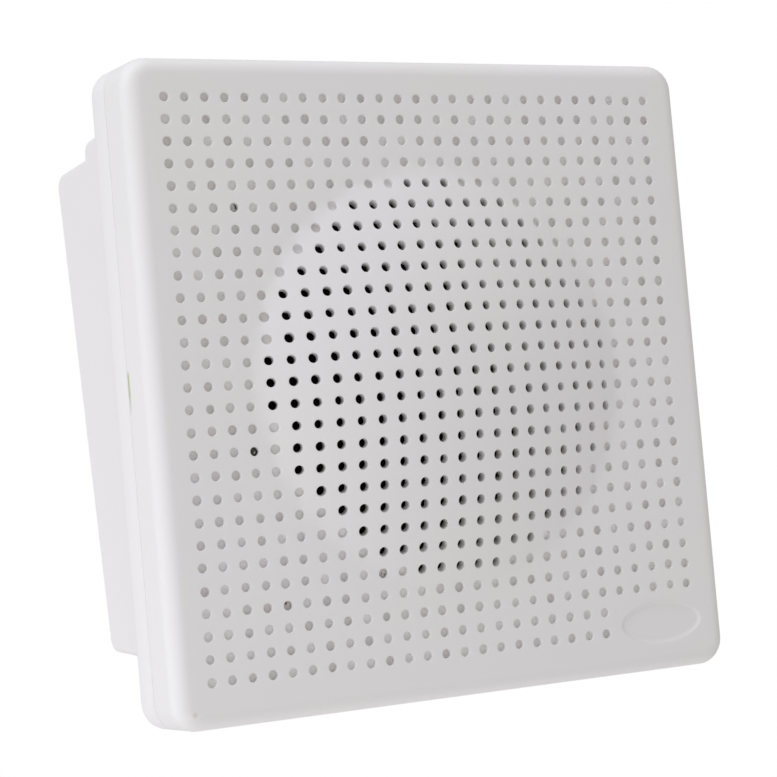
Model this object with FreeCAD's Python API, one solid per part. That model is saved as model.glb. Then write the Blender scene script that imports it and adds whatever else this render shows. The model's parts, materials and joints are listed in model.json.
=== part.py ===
import FreeCAD, Part
import math
import os

from FreeCAD import Vector

# A wall speaker for public address: a moulded front with a domed field of holes, a wedge-shaped rear
# housing, a paper cone driver, a line transformer and a terminal block. All sizes are in millimetres.
# Most pieces are drawn in the frame of the face: X to the right, Y into the depth from the flat of the
# face, Z up, with the driver on the Y axis. They are turned by the tilt of the housing when they are
# saved, so that the wall is the plane Y = 0 and the origin is the middle of the back.

# Face of the front moulding
face_size = 211.2
corner_radius = 9.0
edge_round = 5.5
front_wall = 3.4
side_wall = 2.5
dome_height = 11.0
dome_radius = 68.5
dome_blend = 10.0

# Grid of holes: open over the driver, shallow pits outside it, none where the oval badge place is
hole_pitch = 7.05
hole_radius = 1.5
pit_depth = 1.5
plain_border = 12.0
grid_shift_x = -0.8
grid_shift_z = 0.8
open_field_radius = 64.8
badge_columns = 5
badge_rows = 2
badge_length = 33.6
badge_height = 14.5
badge_depth = 0.5
badge_shift_x = 1.9
badge_shift_z = -1.75

# Seam between the two mouldings, and the rim of the rear one
seam_depth = 16.5
seam_gap = 0.2
rim_depth = 28.0
rim_round = 2.0
flange_wall = 2.5
lip_wall = 1.6
lip_reach = 3.0
fit_clearance = 0.3
case_screw_inset = 11.0
case_boss_radius = 4.5
case_screw_reach = 10.0
case_head_recess = 6.0

# Wedge-shaped box of the rear housing
wall_tilt = 5.2
box_depth = 102.0
box_width = 172.8
box_rise = 84.6
box_drop = 82.9
box_draft = 4.2
box_wall = 2.5
box_round = 2.0
box_corner_round = 5.0
shoulder_rise = 5.6
shoulder_depth = 83.0

# Keyholes and cable inlet in the back
keyhole_spacing = 110.0
keyhole_height = 45.0
keyhole_entry_radius = 4.5
keyhole_slot_radius = 2.3
keyhole_rise = 9.0
pocket_room = 1.0
pocket_depth = 7.0
pocket_wall = 1.6
inlet_height = -58.0
inlet_bore_radius = 4.0
inlet_barrel_wall = 1.8
inlet_flange_width = 2.0
inlet_flange_thickness = 1.3
inlet_web = 3.0
inlet_collar_width = 3.0

# Driver frame and its seat
rib_margin = 0.6
rib_width = 5.0
gasket_thickness = 2.0
seat_depth = 12.0
sheet = 1.2
driver_boss_radius = 4.0
frame_margin = 5.0
bowl_radius = 60.0
shelf_radius = 37.0
shelf_depth = 41.0
well_radius = 30.5
plate_depth = 46.0
throat_radius = 20.0
window_count = 6
window_sweep = 42.0
window_margin = 4.0

# Motor of the driver
coil_radius = 12.6
former_wall = 0.3
former_tail = 1.0
winding_wall = 0.6
winding_length = 8.0
coil_gap = 0.4
top_plate_radius = 38.0
top_plate_thickness = 5.0
magnet_radius = 42.0
magnet_bore_radius = 19.0
magnet_thickness = 15.0
back_plate_thickness = 5.0

# Cone and its suspension
cone_radius = 48.0
cone_wall = 0.8
neck_depth = 36.0
surround_wall = 0.7
surround_height = 4.0
surround_land = 3.0
dust_cap_radius = 20.0
dust_cap_height = 6.0
spider_wall = 0.5
spider_land = 4.0
spider_wave = 0.7
spider_waves = 3

# Solder strip on the driver frame
strip_width = 22.0
strip_height = 9.0
strip_thickness = 1.6
tag_width = 4.0
tag_length = 11.0
tag_thickness = 0.6
tag_spacing = 12.0

# Line transformer
transformer_x = -48.0
transformer_z = -58.0
lamination_width = 41.0
lamination_height = 34.0
stack_thickness = 15.0
leg_width = 14.0
window_width = 7.0
window_height = 20.0
bobbin_wall = 1.0
bobbin_clearance = 0.3
bobbin_overhang = 7.0
winding_inset = 0.8
strap_thickness = 0.8
strap_width = 13.0
ear_length = 9.0

# Terminal block
block_x = 46.0
block_z = -58.0
block_ways = 3
way_pitch = 10.0
block_end = 6.0
block_height = 16.0
block_thickness = 11.0
clamp_radius = 3.2
clamp_bore_radius = 2.0
clamp_inset = 1.0
clamp_screw_spacing = 8.0
clamp_screw_radius = 1.3

# Screws, and the bosses that take them on the back wall
screw_radius = 1.6
screw_head_radius = 3.3
screw_head_height = 2.2
screw_clearance = 0.1
screw_hole_room = 0.5
wall_boss_radius = 3.6
wall_boss_height = 5.0

# Values worked out from the sizes above
same_place = 0.01
tilt = math.radians(wall_tilt)
grid_reach = int((face_size / 2 - plain_border) / hole_pitch)
rib_inner = open_field_radius + hole_radius + rib_margin
rib_outer = rib_inner + rib_width
driver_screw_circle = rib_outer + driver_boss_radius + fit_clearance
frame_radius = driver_screw_circle + frame_margin
case_boss_place = face_size / 2 - case_screw_inset
sphere_radius = (dome_radius**2 + dome_height**2) / (2 * dome_height)
sphere_depth = sphere_radius - dome_height
blend_radius = math.sqrt((sphere_radius + dome_blend) ** 2 - (sphere_depth + dome_blend) ** 2)
pilot_radius = screw_radius + screw_clearance
pass_radius = screw_radius + screw_hole_room
former_outer = coil_radius + former_wall
winding_outer = former_outer + winding_wall
top_plate_front = plate_depth + sheet
magnet_front = top_plate_front + top_plate_thickness
yoke_front = magnet_front + magnet_thickness
boss_face = -box_wall - wall_boss_height
inlet_hole_radius = inlet_bore_radius + inlet_barrel_wall + fit_clearance
inlet_flange_radius = inlet_hole_radius + inlet_flange_width
inlet_recess_depth = inlet_flange_thickness + fit_clearance
pocket_radius = keyhole_entry_radius + pocket_room
pocket_floor = -box_wall - pocket_depth
core_back = boss_face - strap_thickness
core_front = core_back - lamination_height
core_middle = (core_front + core_back) / 2
tube_width = leg_width + 2 * (bobbin_clearance + bobbin_wall)
tube_height = stack_thickness + 2 * (bobbin_clearance + bobbin_wall)
bobbin_width = leg_width + 2 * (window_width - bobbin_clearance)
bobbin_height = stack_thickness + 2 * bobbin_overhang
bobbin_front = core_middle - window_height / 2 + bobbin_clearance
bobbin_back = core_middle + window_height / 2 - bobbin_clearance
clamp_depth = boss_face - block_thickness / 2
clamp_length = block_height - 2 * clamp_inset
centre_turn = FreeCAD.Rotation(Vector(1, 0, 0), wall_tilt)
face_to_wall = FreeCAD.Placement(centre_turn.multVec(Vector(0, -box_depth, 0)), centre_turn)


def on_wall(shape):
    """A shape drawn in the frame of the face, turned into the frame of the wall."""
    turned = shape.copy()
    turned.Placement = face_to_wall.multiply(turned.Placement)
    return turned


def save(name, shape):
    """Write a piece that is already in the frame of the wall, as one solid or a group of solids."""
    solids = shape.Solids
    piece = solids[0] if len(solids) == 1 else Part.makeCompound(solids)
    piece.exportStep(f"parts/{name}.step")
    print(name, len(solids), "solids", round(sum(solid.Volume for solid in solids)), "mm3")


def revolved(profile, sweep=360.0):
    """A solid turned about the driver axis from the (radius, depth) corners of its section."""
    corners = [Vector(radius, depth, 0) for radius, depth in profile]
    section = Part.Face(Part.makePolygon(corners + corners[:1]))
    return section.revolve(Vector(0, 0, 0), Vector(0, 1, 0), sweep)


def turned(outline):
    """A solid turned about the driver axis from a closed outline in the plane of radius and depth."""
    section = Part.Face(Part.Wire([edge for piece in outline for edge in piece.Edges]))
    return section.revolve(Vector(0, 0, 0), Vector(0, 1, 0), 360)


def arc(*places):
    """An arc through three (radius, depth) places."""
    return Part.Arc(*[Vector(radius, depth, 0) for radius, depth in places]).toShape()


def lines(*places):
    """Straight lines through (radius, depth) places."""
    return Part.makePolygon([Vector(radius, depth, 0) for radius, depth in places])


def ring(inner, outer, front, back):
    """A flat ring about the driver axis."""
    return revolved([(inner, front), (outer, front), (outer, back), (inner, back)])


def rod(radius, x, z, front, back):
    """A round rod along the depth, from front to back."""
    return Part.makeCylinder(radius, back - front, Vector(x, front, z), Vector(0, 1, 0))


def block(width, height, front, back, x=0.0, z=0.0):
    """A box between two depths, centred on x and z."""
    return Part.makeBox(width, back - front, height, Vector(x - width / 2, front, z - height / 2))


def edges_along(shape, direction):
    """The straight edges that run along a direction."""
    straight = [edge for edge in shape.Edges if edge.Curve.TypeId == "Part::GeomLine"]
    return [edge for edge in straight if edge.Curve.Direction.cross(direction).Length < same_place]


def edges_at_depth(shape, depth):
    """The edges that lie in one plane across the depth."""
    boxes = [(edge, edge.BoundBox) for edge in shape.Edges]
    low, high = depth - same_place, depth + same_place
    return [edge for edge, box in boxes if low < box.YMin and box.YMax < high]


def tray(size, radius, front, back, front_round):
    """A square block with rounded corners, and with its front edge rounded over."""
    plain = block(size, size, front, back)
    cornered = plain.makeFillet(radius, edges_along(plain, Vector(0, 1, 0)))
    return cornered.makeFillet(front_round, edges_at_depth(cornered, front))


def corner_places(place):
    """The four corners of a square centred on the driver axis."""
    return [(x, z) for x in (-place, place) for z in (-place, place)]


def screw(length):
    """A pan head screw on the Y axis, its seat at Y = 0 and its shank towards the front."""
    head = rod(screw_head_radius, 0, 0, 0, screw_head_height)
    shank = rod(screw_radius, 0, 0, -length, 0)
    return head.fuse(shank).removeSplitter()


def dome(offset, base):
    """The domed middle of the face, moved inwards by an offset, down to a flat base."""
    radius = sphere_radius - offset
    foot_round = dome_blend + offset
    half_turn = math.atan2(blend_radius, sphere_depth + dome_blend) / 2

    def on_sphere(turn):
        return radius * math.sin(turn), sphere_depth - radius * math.cos(turn)

    top = on_sphere(0)
    meet = on_sphere(2 * half_turn)
    foot_half = (
        blend_radius - foot_round * math.sin(half_turn),
        foot_round * math.cos(half_turn) - dome_blend,
    )
    foot = (blend_radius, offset)
    crown = arc(top, on_sphere(half_turn), meet)
    return turned([crown, arc(meet, foot_half, foot), lines(foot, (blend_radius, base), (0, base), top)])


def face_surface(radius):
    """The depth of the outside of the face at a distance from the driver axis."""
    turn = math.atan2(blend_radius, sphere_depth + dome_blend)
    if radius >= blend_radius:
        return 0.0
    if radius > sphere_radius * math.sin(turn):
        return math.sqrt(dome_blend**2 - (blend_radius - radius) ** 2) - dome_blend
    return sphere_depth - math.sqrt(sphere_radius**2 - radius**2)


def hole_cutters():
    """The cutters of the hole grid: open holes square to the dome over the driver, flat pits elsewhere."""
    through = rod(hole_radius, 0, 0, -2 * front_wall, 2 * front_wall)
    pit = rod(hole_radius, 0, 0, -pit_depth, pit_depth)
    cutters = []
    for column in range(-grid_reach, grid_reach + 1):
        for row in range(-grid_reach, grid_reach + 1):
            if column > grid_reach - badge_columns and row < badge_rows - grid_reach:
                continue
            x = grid_shift_x + column * hole_pitch
            z = grid_shift_z + row * hole_pitch
            radius = math.hypot(x, z)
            place = Vector(x, face_surface(radius), z)
            if radius <= open_field_radius:
                lean = FreeCAD.Rotation(Vector(0, 1, 0), Vector(0, sphere_depth, 0) - place)
                cutters.append(through.transformed(FreeCAD.Placement(place, lean).toMatrix()))
            else:
                cutters.append(pit.translated(place))
    return Part.makeCompound(cutters)


def badge_place():
    """The shallow oval where a badge would sit, in the gap that the grid leaves, nearer to the corner."""
    x = badge_shift_x + grid_shift_x + (grid_reach - (badge_columns - 1) / 2) * hole_pitch
    z = badge_shift_z + grid_shift_z - (grid_reach - (badge_rows - 1) / 2) * hole_pitch
    oval = Part.Ellipse(Vector(0, 0, 0), badge_length / 2, badge_height / 2).toShape()
    face = Part.Face(Part.Wire([oval]))
    face.rotate(Vector(0, 0, 0), Vector(1, 0, 0), 90)
    return face.translated(Vector(x, -badge_depth, z)).extrude(Vector(0, 2 * badge_depth, 0))


def front_grille():
    """The front moulding: a square tray with a domed middle, screw bosses and a seat for the driver."""
    inside = face_size - 2 * side_wall
    solid = tray(face_size, corner_radius, 0, seam_depth - seam_gap, edge_round)
    solid = solid.fuse(dome(0, front_wall))
    hollow = tray(inside, corner_radius - side_wall, front_wall, seam_depth, edge_round - side_wall)
    solid = solid.cut(hollow.fuse(dome(front_wall, 2 * front_wall)))
    root = front_wall / 2
    places = corner_places(case_boss_place)
    added = [ring(rib_inner, rib_outer, root, seat_depth - gasket_thickness)]
    added += [rod(case_boss_radius, x, z, root, seam_depth) for x, z in places]
    drilled = [rod(pilot_radius, x, z, front_wall, seam_depth) for x, z in places]
    for x, z in corner_places(driver_screw_circle * math.sqrt(0.5)):
        added.append(rod(driver_boss_radius, x, z, root, seat_depth))
        drilled.append(rod(pilot_radius, x, z, front_wall, seat_depth))
    solid = solid.fuse(added).removeSplitter()
    return solid.cut(drilled + [badge_place()]).cut(hole_cutters())


def box_corners(inset, front):
    """The (depth, height) corners of the box from the side: along the bottom, up the back, over the top."""
    draft = math.tan(math.radians(box_draft))
    low = -box_drop + inset
    high = box_rise - inset
    step = shoulder_depth - inset

    def back(height):
        return box_depth + height * math.tan(tilt) - inset / math.cos(tilt)

    def under(depth):
        return low - (back(low) - depth) * draft

    def over(depth):
        return high + (back(high) - depth) * draft

    return [
        (front, under(front)),
        (back(low), low),
        (back(high), high),
        (step, over(step)),
        (step, over(step) + shoulder_rise),
        (front, over(front) + shoulder_rise),
    ]


def box_block(inset, front):
    """The rear box over its whole width, with sharp edges."""
    half = box_width / 2 - inset
    corners = [Vector(-half, depth, height) for depth, height in box_corners(inset, front)]
    profile = Part.Face(Part.makePolygon(corners + corners[:1]))
    return profile.extrude(Vector(2 * half, 0, 0))


def rounded_box():
    """The outside of the rear box: round back edges and shoulder, then a finer round along both sides."""
    front = rim_depth - flange_wall
    plain = box_block(0, front)
    _, back_low, back_high, _, shoulder, _ = box_corners(0, front)
    places = [Vector(0, depth, height) for depth, height in (back_low, back_high, shoulder)]
    across = edges_along(plain, Vector(1, 0, 0))
    rounded = [edge for edge in across if any(edge.CenterOfMass.sub(p).Length < same_place for p in places)]
    solid = plain.makeFillet(box_corner_round, rounded)
    flat = [edge for edge in solid.Edges if edge.BoundBox.XLength < same_place]
    sides = [edge for edge in flat if edge.BoundBox.YMax > front + same_place]
    return solid.makeFillet(box_round, sides)


def upright_slot(radius, x, front, back):
    """A bar with round ends, from the entry of a keyhole up to the top of its slot, between two depths."""
    middle = block(2 * radius, keyhole_rise, front, back, x, keyhole_height + keyhole_rise / 2)
    ends = [rod(radius, x, keyhole_height + rise, front, back) for rise in (0, keyhole_rise)]
    return middle.fuse(ends).removeSplitter()


def keyhole(x):
    """The cutter of one keyhole: an entry for the screw head, a slot above it and the pocket behind."""
    entry = rod(keyhole_entry_radius, x, keyhole_height, pocket_floor, 0)
    slot = upright_slot(keyhole_slot_radius, x, pocket_floor, 0)
    return entry.fuse([slot, upright_slot(pocket_radius, x, pocket_floor, -box_wall)])


def wall_screw_places():
    """The screws on the back wall, as (x, z): two for the transformer and two for the terminal block."""
    ear = lamination_width / 2 + strap_thickness + ear_length / 2
    end = block_ways * way_pitch / 2 + block_end / 2
    transformer = [(transformer_x + side * ear, transformer_z) for side in (-1, 1)]
    terminal = [(block_x + side * end, block_z) for side in (-1, 1)]
    return transformer, terminal


def rear_housing():
    """The rear moulding: a rim with a lip into the front, a flange, and a box with a tilted back."""
    lip_size = face_size - 2 * (side_wall + fit_clearance)
    lip_corner = corner_radius - side_wall - fit_clearance
    rim = block(face_size, face_size, seam_depth, rim_depth)
    rim = rim.makeFillet(corner_radius, edges_along(rim, Vector(0, 1, 0)))
    rim = rim.makeFillet(rim_round, edges_at_depth(rim, rim_depth))
    lip = block(lip_size, lip_size, seam_depth - lip_reach, seam_depth + lip_reach)
    lip = lip.makeFillet(lip_corner, edges_along(lip, Vector(0, 1, 0)))
    inner = lip_size - 2 * lip_wall
    hollow = block(inner, inner, 0, rim_depth - flange_wall)
    hollow = hollow.makeFillet(lip_corner - lip_wall, edges_along(hollow, Vector(0, 1, 0)))
    solid = rim.fuse([lip, rounded_box()]).removeSplitter()
    solid = solid.cut(hollow.fuse(box_block(box_wall, 0)))

    places = corner_places(case_boss_place)
    seat = rim_depth - case_head_recess
    well_wall = case_boss_radius + box_wall
    towers = [rod(well_wall, x, z, seat - box_wall, rim_depth - box_wall) for x, z in places]
    towers += [rod(case_boss_radius, x, z, seam_depth, seat) for x, z in places]
    drilled = [rod(pass_radius, x, z, seam_depth, seat) for x, z in places]
    drilled += [rod(case_boss_radius, x, z, seat, rim_depth) for x, z in places]
    solid = on_wall(solid.fuse(towers).removeSplitter().cut(drilled))

    transformer, terminal = wall_screw_places()
    bosses = [rod(wall_boss_radius, x, z, boss_face, -box_wall / 2) for x, z in transformer + terminal]
    holes = [rod(pilot_radius, x, z, boss_face, -box_wall) for x, z in transformer + terminal]
    collar_radius = inlet_flange_radius + inlet_collar_width
    web_front = -inlet_recess_depth - inlet_web
    bosses.append(rod(collar_radius, 0, inlet_height, web_front, -box_wall / 2))
    holes.append(rod(inlet_hole_radius, 0, inlet_height, web_front, 0))
    holes.append(rod(inlet_flange_radius + fit_clearance, 0, inlet_height, -inlet_recess_depth, 0))
    for x in (-keyhole_spacing / 2, keyhole_spacing / 2):
        pocket_outside = pocket_radius + pocket_wall
        bosses.append(upright_slot(pocket_outside, x, pocket_floor - pocket_wall, -box_wall / 2))
        holes.append(keyhole(x))
    return solid.fuse(bosses).removeSplitter().cut(holes)


def cable_grommet():
    """The rubber grommet in the cable inlet, with a flange on each side of the wall."""
    barrel = inlet_bore_radius + inlet_barrel_wall
    back = -fit_clearance
    outer = -inlet_recess_depth
    inner = outer - inlet_web
    profile = [
        (inlet_bore_radius, back),
        (inlet_flange_radius, back),
        (inlet_flange_radius, outer),
        (barrel, outer),
        (barrel, inner),
        (inlet_flange_radius, inner),
        (inlet_flange_radius, inner - inlet_flange_thickness),
        (inlet_bore_radius, inner - inlet_flange_thickness),
    ]
    return revolved(profile).translated(Vector(0, 0, inlet_height))


def driver_basket():
    """The pressed steel frame: a flange, an open bowl, a shelf for the spider and a flat for the motor."""
    slope = math.atan2(shelf_depth - seat_depth, bowl_radius - shelf_radius)
    skirt = sheet / math.sin(slope)
    shell = revolved(
        [
            (frame_radius, seat_depth),
            (bowl_radius, seat_depth),
            (shelf_radius, shelf_depth),
            (well_radius, shelf_depth),
            (well_radius, plate_depth),
            (throat_radius, plate_depth),
            (throat_radius, plate_depth + sheet),
            (well_radius + sheet, plate_depth + sheet),
            (well_radius + sheet, shelf_depth + sheet),
            (shelf_radius + skirt, shelf_depth + sheet),
            (bowl_radius + skirt, seat_depth + sheet),
            (frame_radius, seat_depth + sheet),
        ]
    )
    front = seat_depth + sheet + window_margin
    back = shelf_depth - window_margin
    opening = [(shelf_radius, front), (frame_radius, front), (frame_radius, back), (shelf_radius, back)]
    window = revolved(opening, window_sweep)
    pitch = 360.0 / window_count
    cuts = [window.rotated(Vector(0, 0, 0), Vector(0, 1, 0), step * pitch) for step in range(window_count)]
    cuts += [
        rod(pass_radius, x, z, 0, seat_depth + 2 * sheet)
        for x, z in corner_places(driver_screw_circle * math.sqrt(0.5))
    ]
    return shell.cut(cuts)


def cone():
    """The paper cone: a flat edge for the surround, a straight flare and a neck on the voice coil."""
    edge = cone_radius + surround_land
    neck = former_outer
    return revolved(
        [
            (edge, seat_depth),
            (cone_radius, seat_depth),
            (neck + cone_wall, neck_depth),
            (neck, neck_depth),
            (neck, neck_depth + 2 * cone_wall),
            (neck + cone_wall, neck_depth + 2 * cone_wall),
            (cone_radius + cone_wall, seat_depth + cone_wall),
            (edge, seat_depth + cone_wall),
        ]
    )


def surround():
    """The half roll of rubber between the cone and the driver frame."""
    outer = rib_inner - fit_clearance
    roll_inner = cone_radius + surround_land + fit_clearance
    roll_outer = bowl_radius + fit_clearance
    land = seat_depth - surround_wall
    crest = land - surround_height
    middle = (roll_inner + roll_outer) / 2
    reach = (roll_outer - roll_inner) / 2
    roll_round = (reach**2 + surround_height**2) / (2 * surround_height)
    hollow_round = roll_round - surround_wall
    hollow_reach = math.sqrt(hollow_round**2 - (seat_depth - crest - roll_round) ** 2)
    inside_edge = (middle - hollow_reach, seat_depth)
    outside_edge = (middle + hollow_reach, seat_depth)
    return turned(
        [
            lines(inside_edge, (cone_radius, seat_depth), (cone_radius, land), (roll_inner, land)),
            arc((roll_inner, land), (middle, crest), (roll_outer, land)),
            lines((roll_outer, land), (outer, land), (outer, seat_depth), outside_edge),
            arc(outside_edge, (middle, crest + surround_wall), inside_edge),
        ]
    )


def cone_front(radius):
    """The depth of the front of the cone at a distance from the driver axis."""
    share = (cone_radius - radius) / (cone_radius - former_outer - cone_wall)
    return seat_depth + share * (neck_depth - seat_depth)


def dust_cap():
    """The pressed paper cap over the voice coil, glued to the front of the cone."""
    rim = cone_front(dust_cap_radius)
    cap_round = (dust_cap_radius**2 + dust_cap_height**2) / (2 * dust_cap_height)
    centre = rim - dust_cap_height + cap_round

    def on_cap(radius, wall):
        return radius, centre - math.sqrt((cap_round - wall) ** 2 - radius**2)

    hollow_radius = math.sqrt((cap_round - cone_wall) ** 2 - (centre - rim) ** 2)
    top = on_cap(0, 0)
    hollow_top = on_cap(0, cone_wall)
    edge = (dust_cap_radius, rim)
    hollow_edge = (hollow_radius, rim)
    return turned(
        [
            arc(top, on_cap(dust_cap_radius / 2, 0), edge),
            lines(edge, hollow_edge),
            arc(hollow_edge, on_cap(hollow_radius / 2, cone_wall), hollow_top),
            lines(hollow_top, top),
        ]
    )


def spider():
    """The waved cloth disc that centres the voice coil on the shelf of the driver frame."""
    land = shelf_radius - spider_land
    inner = former_outer + fit_clearance
    reach = (land - inner) / (4 * spider_waves)
    front = shelf_depth - spider_wall
    face = []
    back = []
    for index in range(2 * spider_waves):
        lift = spider_wave if index % 2 else -spider_wave
        middle = land - (2 * index + 1) * reach
        wave = [(middle + reach, 0), (middle, lift), (middle - reach, 0)]
        face.append(arc(*[(radius, front + depth) for radius, depth in wave]))
        back.append(arc(*[(radius, shelf_depth + depth) for radius, depth in reversed(wave)]))
    start = lines((land, shelf_depth), (shelf_radius, shelf_depth), (shelf_radius, front), (land, front))
    return turned([start] + face + [lines((inner, front), (inner, shelf_depth))] + back[::-1])


def voice_coil_winding():
    """The copper winding on the former, centred in the top plate."""
    middle = top_plate_front + top_plate_thickness / 2
    return ring(former_outer, winding_outer, middle - winding_length / 2, middle + winding_length / 2)


def voice_coil_former():
    """The thin tube that joins the winding to the neck of the cone."""
    middle = top_plate_front + top_plate_thickness / 2
    return ring(coil_radius, former_outer, neck_depth, middle + winding_length / 2 + former_tail)


def pole_yoke():
    """The back plate of the motor with its pole, turned from one piece of steel."""
    pole = coil_radius - coil_gap
    return revolved(
        [
            (0, top_plate_front),
            (pole, top_plate_front),
            (pole, yoke_front),
            (top_plate_radius, yoke_front),
            (top_plate_radius, yoke_front + back_plate_thickness),
            (0, yoke_front + back_plate_thickness),
        ]
    )


def strip_place():
    """The height of the middle of the solder strip, on the flange below the bowl."""
    return -(frame_radius - frame_margin)


def driver_tags():
    """Two brass solder tags on the strip."""
    front = seat_depth + sheet + strip_thickness
    height = strip_place() + (tag_length - strip_height) / 2
    return Part.makeCompound(
        [
            block(tag_width, tag_length, front, front + tag_thickness, side * tag_spacing / 2, height)
            for side in (-1, 1)
        ]
    )


def transformer_core():
    """The stack of laminations: an outline with two windows for the coil."""
    solid = block(lamination_width, stack_thickness, core_front, core_back, transformer_x, transformer_z)
    place = (leg_width + window_width) / 2
    front = core_middle - window_height / 2
    window = block(window_width, 2 * stack_thickness, front, front + window_height, 0, transformer_z)
    return solid.cut([window.translated(Vector(transformer_x + side * place, 0, 0)) for side in (-1, 1)])


def coil_frame(width, height, front, back):
    """A rectangular collar around the centre leg, between two depths."""
    room = 2 * bobbin_clearance
    leg = block(leg_width + room, stack_thickness + room, front, back, transformer_x, transformer_z)
    return block(width, height, front, back, transformer_x, transformer_z).cut(leg)


def transformer_bobbin():
    """The moulded bobbin on the centre leg: a square tube with a flange at each end."""
    tube = coil_frame(tube_width, tube_height, bobbin_front, bobbin_back)
    low = coil_frame(bobbin_width, bobbin_height, bobbin_front, bobbin_front + bobbin_wall)
    high = coil_frame(bobbin_width, bobbin_height, bobbin_back - bobbin_wall, bobbin_back)
    return tube.fuse([low, high]).removeSplitter()


def transformer_winding():
    """The wound copper between the flanges of the bobbin."""
    width = bobbin_width - 2 * winding_inset
    height = bobbin_height - 2 * winding_inset
    front = bobbin_front + bobbin_wall
    back = bobbin_back - bobbin_wall
    tube = block(tube_width, tube_height, front, back, transformer_x, transformer_z)
    return block(width, height, front, back, transformer_x, transformer_z).cut(tube)


def transformer_strap():
    """The bent steel strap that clamps the core, with an ear on each side for a screw."""
    width = lamination_width + 2 * strap_thickness
    ears = block(width + 2 * ear_length, strap_width, core_back, boss_face, transformer_x, transformer_z)
    front = core_front - strap_thickness
    outside = block(width, strap_width, front, boss_face, transformer_x, transformer_z)
    inside = block(lamination_width, 2 * strap_width, core_front, boss_face, transformer_x, transformer_z)
    transformer, _ = wall_screw_places()
    holes = [rod(pass_radius, x, z, core_back, boss_face) for x, z in transformer]
    return ears.fuse(outside).removeSplitter().cut([inside] + holes)


def way_places():
    """The middles of the ways of the terminal block."""
    first = block_x - (block_ways - 1) * way_pitch / 2
    return [first + way * way_pitch for way in range(block_ways)]


def clamp_rod(radius, x, length):
    """A rod across the terminal block, along the way of a wire."""
    return Part.makeCylinder(radius, length, Vector(x, clamp_depth, block_z - length / 2), Vector(0, 0, 1))


def clamp_screw_places():
    """Two screws for each way of the terminal block."""
    return [(x, block_z + side * clamp_screw_spacing / 2) for x in way_places() for side in (-1, 1)]


def terminal_block():
    """The moulded block with a channel for each wire and a well above each clamping screw."""
    width = block_ways * way_pitch + 2 * block_end
    body = block(width, block_height, boss_face - block_thickness, boss_face, block_x, block_z)
    _, terminal = wall_screw_places()
    above = boss_face - 2 * block_thickness
    screw_well_radius = clamp_screw_radius + fit_clearance
    cuts = [clamp_rod(clamp_radius + screw_clearance, x, 2 * block_height) for x in way_places()]
    cuts += [rod(screw_well_radius, x, z, above, clamp_depth) for x, z in clamp_screw_places()]
    cuts += [rod(pass_radius, x, z, above, boss_face) for x, z in terminal]
    return body.cut(cuts)


def terminal_clamps():
    """The brass tubes that hold the wires, one in each channel."""
    tapped = clamp_screw_radius + screw_clearance
    above = clamp_depth - 2 * clamp_radius
    drilled = [rod(tapped, x, z, above, clamp_depth) for x, z in clamp_screw_places()]
    tubes = []
    for x in way_places():
        bore = clamp_rod(clamp_bore_radius, x, 2 * clamp_length)
        tubes.append(clamp_rod(clamp_radius, x, clamp_length).cut([bore] + drilled))
    return Part.makeCompound(tubes)


def terminal_clamp_screws():
    """The small screws that press the wires into the clamps."""
    top = boss_face - block_thickness + clamp_inset
    tip = clamp_depth - clamp_bore_radius / 2
    return Part.makeCompound([rod(clamp_screw_radius, x, z, top, tip) for x, z in clamp_screw_places()])


def placed_screws(length, places, seat, towards_front):
    """A group of like screws, with their heads seated at one depth."""
    one = screw(length)
    if not towards_front:
        one.rotate(Vector(0, 0, 0), Vector(0, 0, 1), 180)
    return Part.makeCompound([one.translated(Vector(x, seat, z)) for x, z in places])


os.makedirs("parts", exist_ok=True)

# Mouldings and the screws that join them
save("front_grille", on_wall(front_grille()))
save("rear_housing", rear_housing())
save("cable_grommet", cable_grommet())
case_seat = rim_depth - case_head_recess
case_screw_length = case_seat - seam_depth + case_screw_reach
case_places = corner_places(case_boss_place)
save("case_screws", on_wall(placed_screws(case_screw_length, case_places, case_seat, True)))

# Driver, from its frame to its motor
save("driver_basket", on_wall(driver_basket()))
save("driver_gasket", on_wall(ring(rib_inner, rib_outer, seat_depth - gasket_thickness, seat_depth)))
driver_places = corner_places(driver_screw_circle * math.sqrt(0.5))
driver_screw_length = seat_depth - 2 * front_wall
save("driver_screws", on_wall(placed_screws(driver_screw_length, driver_places, seat_depth + sheet, True)))
save("surround", on_wall(surround()))
save("cone", on_wall(cone()))
save("dust_cap", on_wall(dust_cap()))
save("voice_coil_former", on_wall(voice_coil_former()))
save("voice_coil_winding", on_wall(voice_coil_winding()))
save("spider", on_wall(spider()))
save("top_plate", on_wall(ring(winding_outer + coil_gap, top_plate_radius, top_plate_front, magnet_front)))
save("magnet", on_wall(ring(magnet_bore_radius, magnet_radius, magnet_front, yoke_front)))
save("pole_yoke", on_wall(pole_yoke()))
strip_front = seat_depth + sheet
strip = block(strip_width, strip_height, strip_front, strip_front + strip_thickness, 0, strip_place())
save("solder_strip", on_wall(strip))
save("solder_tags", on_wall(driver_tags()))

# Transformer and terminal block on the back wall
transformer_places, terminal_places = wall_screw_places()
save("transformer_core", transformer_core())
save("transformer_bobbin", transformer_bobbin())
save("transformer_winding", transformer_winding())
save("transformer_strap", transformer_strap())
wall_screw_length = strap_thickness + wall_boss_height
save("transformer_screws", placed_screws(wall_screw_length, transformer_places, core_back, False))
save("terminal_block", terminal_block())
save("terminal_clamps", terminal_clamps())
save("terminal_clamp_screws", terminal_clamp_screws())
block_screw_length = block_thickness + wall_boss_height
block_face = boss_face - block_thickness
save("terminal_block_screws", placed_screws(block_screw_length, terminal_places, block_face, False))
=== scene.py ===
import json
import math
import random

import bmesh
import bpy
from mathutils import Matrix, Vector


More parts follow.
